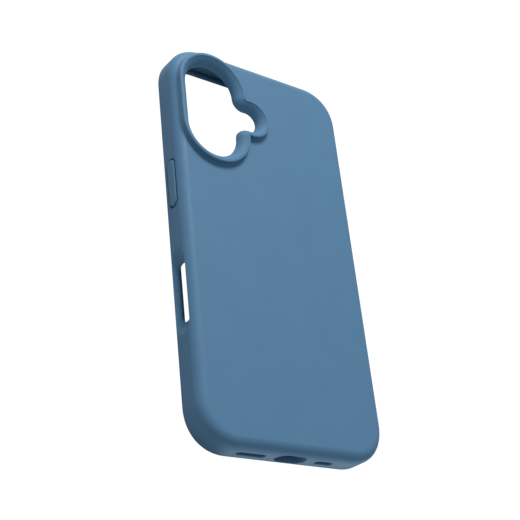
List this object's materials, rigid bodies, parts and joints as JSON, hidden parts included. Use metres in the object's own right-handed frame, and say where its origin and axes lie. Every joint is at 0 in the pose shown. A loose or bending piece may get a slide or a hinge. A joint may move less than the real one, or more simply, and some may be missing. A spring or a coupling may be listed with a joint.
{
  "type": "phone case",
  "caption": "Empty soft-skinned phone case with a raised camera guard, side keys, a touch-control slot, bottom ports and a magnet ring in its back.",
  "frame": {"origin": "middle of the outline, on the plane of the rim round the screen opening, which the case lies on", "axes": "+X to the right as the back is seen, +Y towards the camera end, +Z out of the back"},
  "size_m": [0.0776, 0.1528, 0.013],
  "materials": {
    "skin": "soft-touch moulded silicone rubber, matt mid blue with a slight sheen",
    "frame": "moulded polycarbonate, matt, darker blue",
    "lining": "short-pile microfibre, blue",
    "keys": "soft-touch silicone rubber, as the skin",
    "magnets": "nickel-plated magnet, satin"
  },
  "bodies": {
    "case": {"outer_skin": "skin", "inner_frame": "frame", "microfibre_lining": "lining", "ring_magnet_01": "magnets", "ring_magnet_02": "magnets", "ring_magnet_03": "magnets", "ring_magnet_04": "magnets", "ring_magnet_05": "magnets", "ring_magnet_06": "magnets", "ring_magnet_07": "magnets", "ring_magnet_08": "magnets", "ring_magnet_09": "magnets", "ring_magnet_10": "magnets", "ring_magnet_11": "magnets", "ring_magnet_12": "magnets", "ring_magnet_13": "magnets", "ring_magnet_14": "magnets", "ring_magnet_15": "magnets", "ring_magnet_16": "magnets", "ring_magnet_17": "magnets", "ring_magnet_18": "magnets", "alignment_magnet": "magnets"},
    "power_key_body": {"power_key": "keys"},
    "action_key_body": {"action_key": "keys"},
    "volume_up_key_body": {"volume_up_key": "keys"},
    "volume_down_key_body": {"volume_down_key": "keys"}
  },
  "joints": [
    {"name": "power_key_press", "type": "slide", "parent": "case", "child": "power_key_body", "axis": [1, 0, 0], "range_m": [0, 0.00035], "stiffness_N_per_m": 600},
    {"name": "action_key_press", "type": "slide", "parent": "case", "child": "action_key_body", "axis": [-1, 0, 0], "range_m": [0, 0.00035], "stiffness_N_per_m": 600},
    {"name": "volume_up_key_press", "type": "slide", "parent": "case", "child": "volume_up_key_body", "axis": [-1, 0, 0], "range_m": [0, 0.00035], "stiffness_N_per_m": 600},
    {"name": "volume_down_key_press", "type": "slide", "parent": "case", "child": "volume_down_key_body", "axis": [-1, 0, 0], "range_m": [0, 0.00035], "stiffness_N_per_m": 600}
  ]
}
